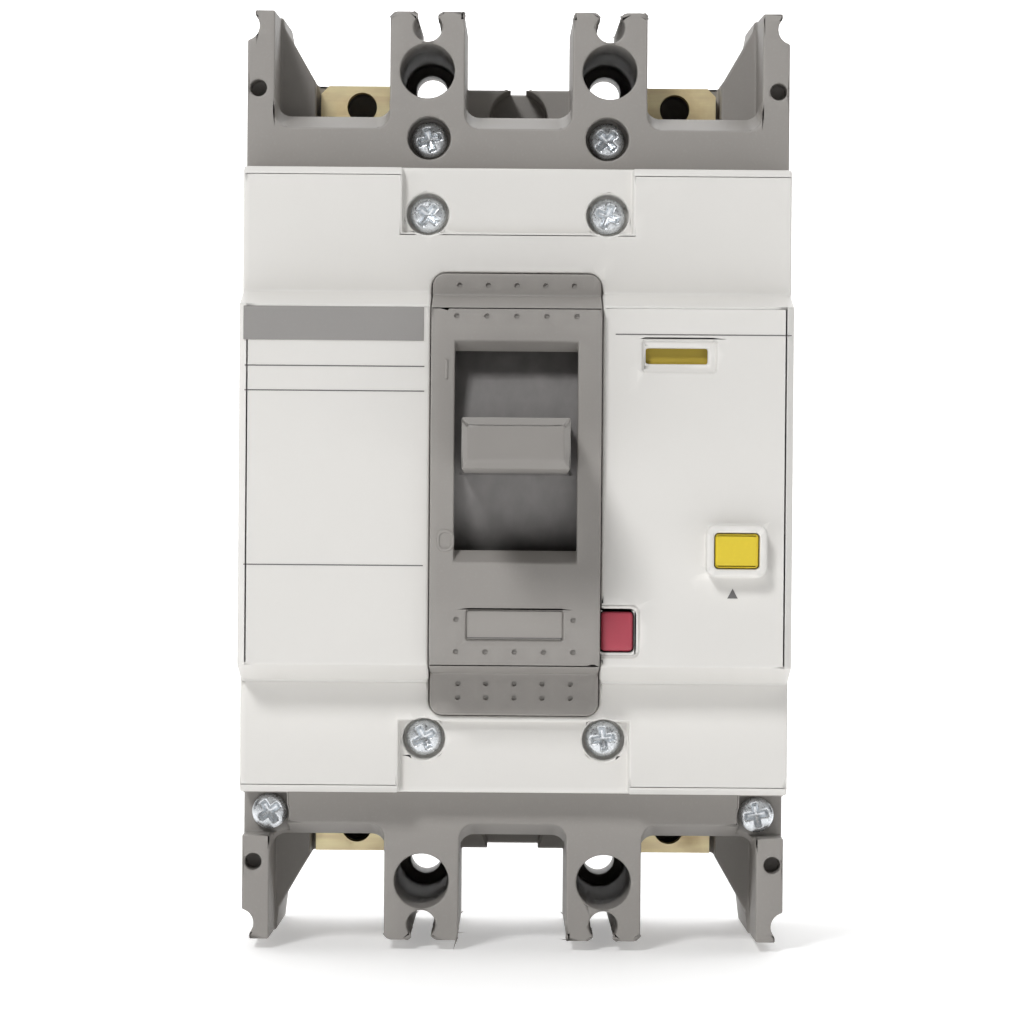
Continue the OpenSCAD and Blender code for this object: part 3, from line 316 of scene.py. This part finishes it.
def wear(piece, finish):
    piece.data.materials.clear()
    piece.data.materials.append(finishes[finish])


for finish, names in wears.items():
    for name in names.split():
        wear(nodes[name], finish)
print("stage: finishes made,", len(finishes))


weld = dict(merge=0.002 * mm, flat=0.5, cut=0.001 * mm)  # flat is in degrees


def weldedMesh(name, step):
    # the node's mesh with its flat faces merged, then cut into an even grid
    mesh = bmesh.new()
    mesh.from_mesh(nodes[name].data)
    bmesh.ops.remove_doubles(mesh, verts=mesh.verts, dist=weld["merge"])
    bmesh.ops.dissolve_limit(mesh, angle_limit=math.radians(weld["flat"]), verts=mesh.verts,
                             edges=mesh.edges)
    low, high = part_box(name)
    for axis in range(3):
        across = Vector([float(i == axis) for i in range(3)])
        count = int((high - low)[axis] / step)
        for k in range(count):
            at = low[axis] + (k + 0.5) * (high - low)[axis] / count
            bmesh.ops.bisect_plane(mesh, geom=mesh.verts[:] + mesh.edges[:] + mesh.faces[:],
                                   dist=weld["cut"], plane_co=across * at, plane_no=across)
    bmesh.ops.triangulate(mesh, faces=mesh.faces, quad_method="BEAUTY", ngon_method="BEAUTY")
    return mesh


def evenNormals(piece):
    for p in piece.data.polygons:
        p.use_smooth = True
    even = piece.modifiers.new("even", "WEIGHTED_NORMAL")
    even.mode = "FACE_AREA"
    even.weight = 100
    even.keep_sharp = True


def sharpEdges(mesh, angle):
    return [e for e in mesh.edges if len(e.link_faces) == 2
            and abs(e.calc_face_angle()) > math.radians(angle)]


pillarSide = 18.5 * mm  # the outer sides of the pillars
straightOut = 0.95  # how nearly an edge has to run out of the back
tinyRun = 1.1 * mm  # runs of edges smaller than this stay crisp
cornerAngle, softAngle = 60, 30  # degrees between faces
bevelSteps = 3


def isEndCorner(edge, reach):
    # a corner of a pillar, running straight out of the back
    run = edge.verts[1].co - edge.verts[0].co
    outside = all(min(v.co.z - cadLow.z, cadHigh.z - v.co.z) < reach
                  and abs(v.co.x) < pillarSide for v in edge.verts)
    return outside and abs(run.y) > straightOut * run.length and edge.is_convex


def withoutTiny(edges, size):
    # drops each closed run of edges that is smaller than size, so that dimples stay crisp
    left = set(edges)
    kept = []
    while left:
        run, queue = [], [left.pop()]
        while queue:
            edge = queue.pop()
            run.append(edge)
            for vert in edge.verts:
                for other in vert.link_edges:
                    if other in left:
                        left.discard(other)
                        queue.append(other)
        places = [v.co for e in run for v in e.verts]
        spread = max(max(p[i] for p in places) - min(p[i] for p in places) for i in range(3))
        if spread > size:
            kept += run
        else:
            for edge in run:
                edge.smooth = False
    order = {e: i for i, e in enumerate(edges)}
    return sorted(kept, key=order.get)


def roundOver(mesh, edges, radius):
    bmesh.ops.bevel(mesh, geom=edges, offset=radius, offset_type="OFFSET",
                    segments=bevelSteps, profile=0.5, affect="EDGES",
                    clamp_overlap=False, loop_slide=False)


def softened(name, body, finish, slot, edge, grid, endReach=0, endRadius=0):
    # stands for the node, with every sharp edge rounded over
    mesh = weldedMesh(name, grid)
    if endReach:
        corners = [e for e in sharpEdges(mesh, cornerAngle) if isEndCorner(e, endReach)]
        roundOver(mesh, corners, endRadius)
    roundOver(mesh, withoutTiny(sharpEdges(mesh, softAngle), tinyRun), edge)
    made = bpy.data.meshes.new(name + "_soft")
    mesh.to_mesh(made)
    mesh.free()
    piece = bpy.data.objects.new(name + "_soft", made)
    bpy.context.collection.objects.link(piece)
    wear(piece, finish)
    evenNormals(piece)
    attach(piece, body)
    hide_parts(name)
    return piece


# edge is the radius of the edges, grid the step of the grid; endReach is how far in from the
# tips the corners of the pillars get the larger endRadius
softPieces = {
    "base": dict(body="root", finish="base", slot="base_moulding",
                 edge=0.3 * mm, grid=6 * mm, endReach=1.6 * mm, endRadius=0.9 * mm),
    "main_cover": dict(body="root", finish="cover", slot="cover_moulding",
                       edge=0.24 * mm, grid=2.5 * mm, endReach=2.2 * mm, endRadius=0.9 * mm),
    "front_cover": dict(body="root", finish="white", slot="white_moulding",
                        edge=0.3 * mm, grid=2 * mm),
    "handle": dict(body="handle", finish="handle", slot="handle_moulding",
                   edge=0.24 * mm, grid=3 * mm),
    "test_button": dict(body="test_button", finish="yellow", slot="button_yellow",
                        edge=0.35 * mm, grid=2 * mm),
    "trip_button": dict(body="trip_button", finish="red", slot="button_red",
                        edge=0.4 * mm, grid=2 * mm),
}
for name, piece in softPieces.items():
    softened(name, **piece)
    print("stage: softened", name)


def makePiece(name, verts, faces, finish, body="root", smooth=True):
    mesh = bpy.data.meshes.new(name)
    mesh.from_pydata([tuple(v) for v in verts], [], faces)
    mesh.validate()
    piece = bpy.data.objects.new(name, mesh)
    bpy.context.collection.objects.link(piece)
    for p in mesh.polygons:
        p.use_smooth = smooth
    mesh.materials.append(finishes[finish])
    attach(piece, body)
    return piece


def joined(parts):
    # several (verts, faces) lists as one
    verts, faces = [], []
    for v, f in parts:
        start = len(verts)
        verts += v
        faces += [[i + start for i in face] for face in f]
    return verts, faces


def ringsMesh(rings):
    # a skin over rings of points, closed at both ends
    count = len(rings[0])
    verts = [p for ring in rings for p in ring]
    faces = []
    for i in range(len(rings) - 1):
        for j in range(count):
            k = (j + 1) % count
            faces.append([i * count + j, i * count + k, (i + 1) * count + k, (i + 1) * count + j])
    faces.append(list(range(count))[::-1])
    faces.append([(len(rings) - 1) * count + j for j in range(count)])
    return verts, faces


screw = dict(around=64, rings=26, headRadius=2.4 * mm, dome=0.30 * mm, edge=0.45 * mm,
             recess=1.15 * mm, armHalf=0.36 * mm, armReach=1.5 * mm, taper=0.3 * mm,
             coneRadius=1.9 * mm, bottom=0.45)


def recessDepth(x, y, size):
    # depth of the cross at a point of the head
    best = 0
    for along, side in ((abs(x), abs(y)), (abs(y), abs(x))):
        wallSide = (screw["armHalf"] - side) / screw["taper"] + 0.5
        wallEnd = (screw["armReach"] * size - along) / (1.6 * screw["taper"]) + 0.5
        best = max(best, min(1, wallSide, wallEnd))
    cone = max(0, 1 - math.hypot(x, y) / screw["coneRadius"])
    return screw["recess"] * max(0, best) * (screw["bottom"] + (1 - screw["bottom"]) * cone)


def screwMesh(centre, radius, headHeight, shankRadius, length, turn):
    # centre is the middle of the head's top; the screw points into +Y
    count = screw["rings"]
    steps = [radius * math.sin(math.pi / 2 * i / count) for i in range(1, count + 1)]
    rings = []
    for r in steps:
        ring = []
        for j in range(screw["around"]):
            a = 2 * math.pi * j / screw["around"]
            x, y = r * math.cos(a), r * math.sin(a)
            fall = screw["dome"] * (r / radius) ** 2
            edge = max(0, (r - radius + screw["edge"]) / screw["edge"])
            fall += screw["edge"] * (1 - math.sqrt(max(0, 1 - min(1, edge) ** 2)))
            depth = fall + recessDepth(x, y, radius / screw["headRadius"])
            turned = Matrix.Rotation(turn, 2) @ Vector((x, y))
            ring.append(centre + Vector((turned.x, depth, turned.y)))
        rings.append(ring)
    outline = [(radius, headHeight), (shankRadius, headHeight), (shankRadius, headHeight + length)]
    for r, depth in outline:
        angles = [2 * math.pi * j / screw["around"] + turn for j in range(screw["around"])]
        rings.append([centre + Vector((r * math.cos(a), depth, r * math.sin(a))) for a in angles])
    return ringsMesh(rings)


def screwsFor(node, places, headHeight, shankRadius, length, turns):
    low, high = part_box(node)
    radius = screw["headRadius"]
    parts = []
    for (x, z), turn in zip(places(low, high, radius), turns):
        centre = Vector((x, low.y, z))
        parts.append(screwMesh(centre, radius, headHeight, shankRadius, length, turn))
    piece = makePiece(node + "_turned", *joined(parts), "zinc")
    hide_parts(node)


def fourCorners(low, high, r):
    return [(sx * (high.x - r), sz * (high.z - r)) for sx in (-1, 1) for sz in (-1, 1)]


def wellsAndPockets(low, high, r):
    # two over the front cover's screws, and two in the bottom corners
    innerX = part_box("front_cover_screws")[1].x - r
    return [(-innerX, high.z - r), (innerX, high.z - r),
            (low.x + r, low.z + r), (high.x - r, low.z + r)]


frontScrews = dict(headHeight=1.8 * mm, shankRadius=1.15 * mm, length=9 * mm,
                   turns=(0.5, 0.9, 0.15, 1.2))
mainScrews = dict(headHeight=1.6 * mm, shankRadius=1.3 * mm, length=24 * mm,
                  turns=(0.3, 0.75, 0.6, 0.2))
screwsFor("front_cover_screws", fourCorners, **frontScrews)
screwsFor("main_cover_screws", wellsAndPockets, **mainScrews)
print("stage: screws turned")


marks = dict(stripX=-9.3 * mm, offZ=-8.4 * mm, onZ=14.4 * mm, wide=1.9 * mm, tall=2.5 * mm,
             corner=0.8 * mm, wire=0.24 * mm, sunk=0.04 * mm, ink=0.05 * mm, under=0.01 * mm,
             line=0.14 * mm, labelLines=(14.7 * mm, 11.4 * mm, -11.9 * mm), rightLine=19.2 * mm)
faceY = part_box("name_band")[1].y
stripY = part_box("rating_plate")[1].y - 0.5 * mm


def ridge(name, points, radius, cyclic, finish, body="root"):
    # a moulded ridge: a round bead half sunk into the face
    curve = bpy.data.curves.new(name, "CURVE")
    curve.dimensions = "3D"
    curve.bevel_depth = radius
    curve.bevel_resolution = 3
    spline = curve.splines.new("POLY")
    spline.points.add(len(points) - 1)
    for p, q in zip(spline.points, points):
        p.co = (*q, 1)
    spline.use_cyclic_u = cyclic
    curve.materials.append(finishes[finish])
    piece = bpy.data.objects.new(name, curve)
    bpy.context.collection.objects.link(piece)
    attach(piece, body)
    return piece


def roundedLoop(x, y, z, wide, tall, radius, steps=6):
    points = []
    corners = ((1, 1, 0), (-1, 1, 1), (-1, -1, 2), (1, -1, 3))
    for sx, sz, quarter in corners:
        for i in range(steps + 1):
            a = math.pi / 2 * (quarter + i / steps)
            points.append((x + sx * (wide / 2 - radius) + radius * math.cos(a), y,
                           z + sz * (tall / 2 - radius) + radius * math.sin(a)))
    return points


def printedBars(name, bars, y, finish):
    # flat printed bars on a face: each is (x0, x1, z0, z1)
    parts = []
    for x0, x1, z0, z1 in bars:
        ring = [[Vector((x, depth, z)) for x, z in ((x0, z0), (x1, z0), (x1, z1), (x0, z1))]
                for depth in (y + marks["under"], y - marks["ink"])]
        parts.append(ringsMesh(ring))
    return makePiece(name, *joined(parts), finish, smooth=False)


ridge("off_ring", roundedLoop(marks["stripX"], stripY + marks["sunk"], marks["offZ"],
                              marks["wide"], marks["tall"], marks["corner"]),
      marks["wire"], True, "cover")
ridge("on_bar", [(marks["stripX"], stripY + marks["sunk"], marks["onZ"] + s * marks["tall"] / 2)
                 for s in (-1, 1)], marks["wire"], False, "cover")

labelLeft, labelRight = cadLow.x + 1.2 * mm, -12.3 * mm
rightStart, rightEnd = 13.2 * mm, cadHigh.x - 0.8 * mm
lines = [(labelLeft, labelRight, z, z + marks["line"]) for z in marks["labelLines"]]
lines.append((rightStart, rightEnd, marks["rightLine"], marks["rightLine"] + marks["line"]))
printedBars("label_lines", lines, faceY, "ink")


arrow = dict(size=0.7 * mm, left=0.4 * mm, below=2.6 * mm,
             corners=((-1, -1), (1, -1), (0, 0.9)))


def arrowUp(x, z):
    size = arrow["size"]
    return ringsMesh([[Vector((x + dx * size, depth, z + dz * size)) for dx, dz in arrow["corners"]]
                      for depth in (faceY + marks["under"], faceY - marks["ink"])])


testLow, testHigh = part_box("test_button")
testX = (testLow.x + testHigh.x) / 2
verts, faces = arrowUp(testX - arrow["left"], testLow.z - arrow["below"])
makePiece("test_arrow", verts, faces, "ink", smooth=False)

plateLow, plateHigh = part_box("rating_plate")
ratingLine = (plateLow.x, plateHigh.x, plateLow.z + 0.1 * mm, plateLow.z + 0.22 * mm)
printedBars("rating_line", [ratingLine], plateLow.y, "ink")
print("stage: marks set")


def paleFloor(name, colour, rough, near, far):
    # glows a little, more on the wall than round the object
    f = Finish(name, Roughness=rough, Emission_Strength=1.0)
    wall = f.ramp(f.axis("Y"), 0.0, 0.7)
    f.feed(Base_Color=f.mix(f.noise(2.0, 2), shade(colour, 0.99), shade(colour, 1.01)),
           Emission_Color=f.mix(wall, (near, near, near, 1), (far, far, far, 1)))
    return f.material


floorShape = dict(size=3.0, back=0.9, rise=0.5, lift=2.0)  # metres
floorTone = dict(colour=(0.93, 0.93, 0.93), rough=0.7, near=0.30, far=0.8)


def sweptFloor(size, back, rise, lift):
    # floor that curves up into a wall behind
    ground = cadLow.z
    profile = [(-size, ground), (back - rise, ground)]
    profile += [(back - rise + rise * math.sin(a), ground + rise - rise * math.cos(a))
                for a in [math.pi / 2 * i / 16 for i in range(1, 17)]]
    profile.append((back, ground + lift))
    verts = [(x, y, z) for y, z in profile for x in (-size, size)]
    faces = [[2 * i, 2 * i + 1, 2 * i + 3, 2 * i + 2] for i in range(len(profile) - 1)]
    mesh = bpy.data.meshes.new("floor")
    mesh.from_pydata(verts, [], faces)
    floor = bpy.data.objects.new("floor", mesh)
    bpy.context.collection.objects.link(floor)
    for p in mesh.polygons:
        p.use_smooth = True
    mesh.materials.append(paleFloor("pale_floor", **floorTone))


lamps = {
    "key": dict(at=(-0.36, -0.95, 0.72), target=(0, 0, 0.02), size=0.22, power=6.6),
    "fill": dict(at=(0.8, -1.1, 0.45), target=(0, 0, 0), size=1.0, power=0.6),
    "backdrop": dict(at=(0, 0.2, 0.9), target=(0, 0.9, 0.1), size=1.2, power=5),
}
skyStrength = 0.09


def softLight(name, at, target, size, power):
    light = bpy.data.lights.new(name, "AREA")
    light.size = size
    light.energy = power
    lamp = bpy.data.objects.new(name, light)
    bpy.context.collection.objects.link(lamp)
    lamp.location = at
    lamp.rotation_euler = (Vector(target) - Vector(at)).to_track_quat("-Z", "Y").to_euler()


def studio():
    world = bpy.data.worlds.new("studio")
    bpy.context.scene.world = world
    world.use_nodes = True
    sky = world.node_tree.nodes["Background"]
    sky.inputs["Color"].default_value = (1, 1, 1, 1)
    sky.inputs["Strength"].default_value = skyStrength
    for name, lamp in lamps.items():
        softLight(name, **lamp)
    bpy.context.scene.view_settings.view_transform = "Standard"


shot = dict(distance=643 * mm, height=3.7 * mm, side=-0.45 * mm, nearest=0.02,
            lens=154.0, sensor=36.0, pitch=-0.81, roll=0.46)


def aimCamera():
    camera = bpy.data.cameras.new("camera")
    camera.lens = shot["lens"]
    camera.sensor_width = shot["sensor"]
    camera.clip_start = shot["nearest"]
    taker = bpy.data.objects.new("camera", camera)
    bpy.context.collection.objects.link(taker)
    pitch = Matrix.Rotation(math.radians(90 + shot["pitch"]), 3, "X")
    roll = Matrix.Rotation(math.radians(shot["roll"]), 3, "Z")
    taker.rotation_euler = (pitch @ roll).to_euler()
    taker.location = (shot["side"], -shot["distance"], shot["height"])
    bpy.context.scene.camera = taker


sweptFloor(**floorShape)
studio()
aimCamera()
print("stage: studio ready")
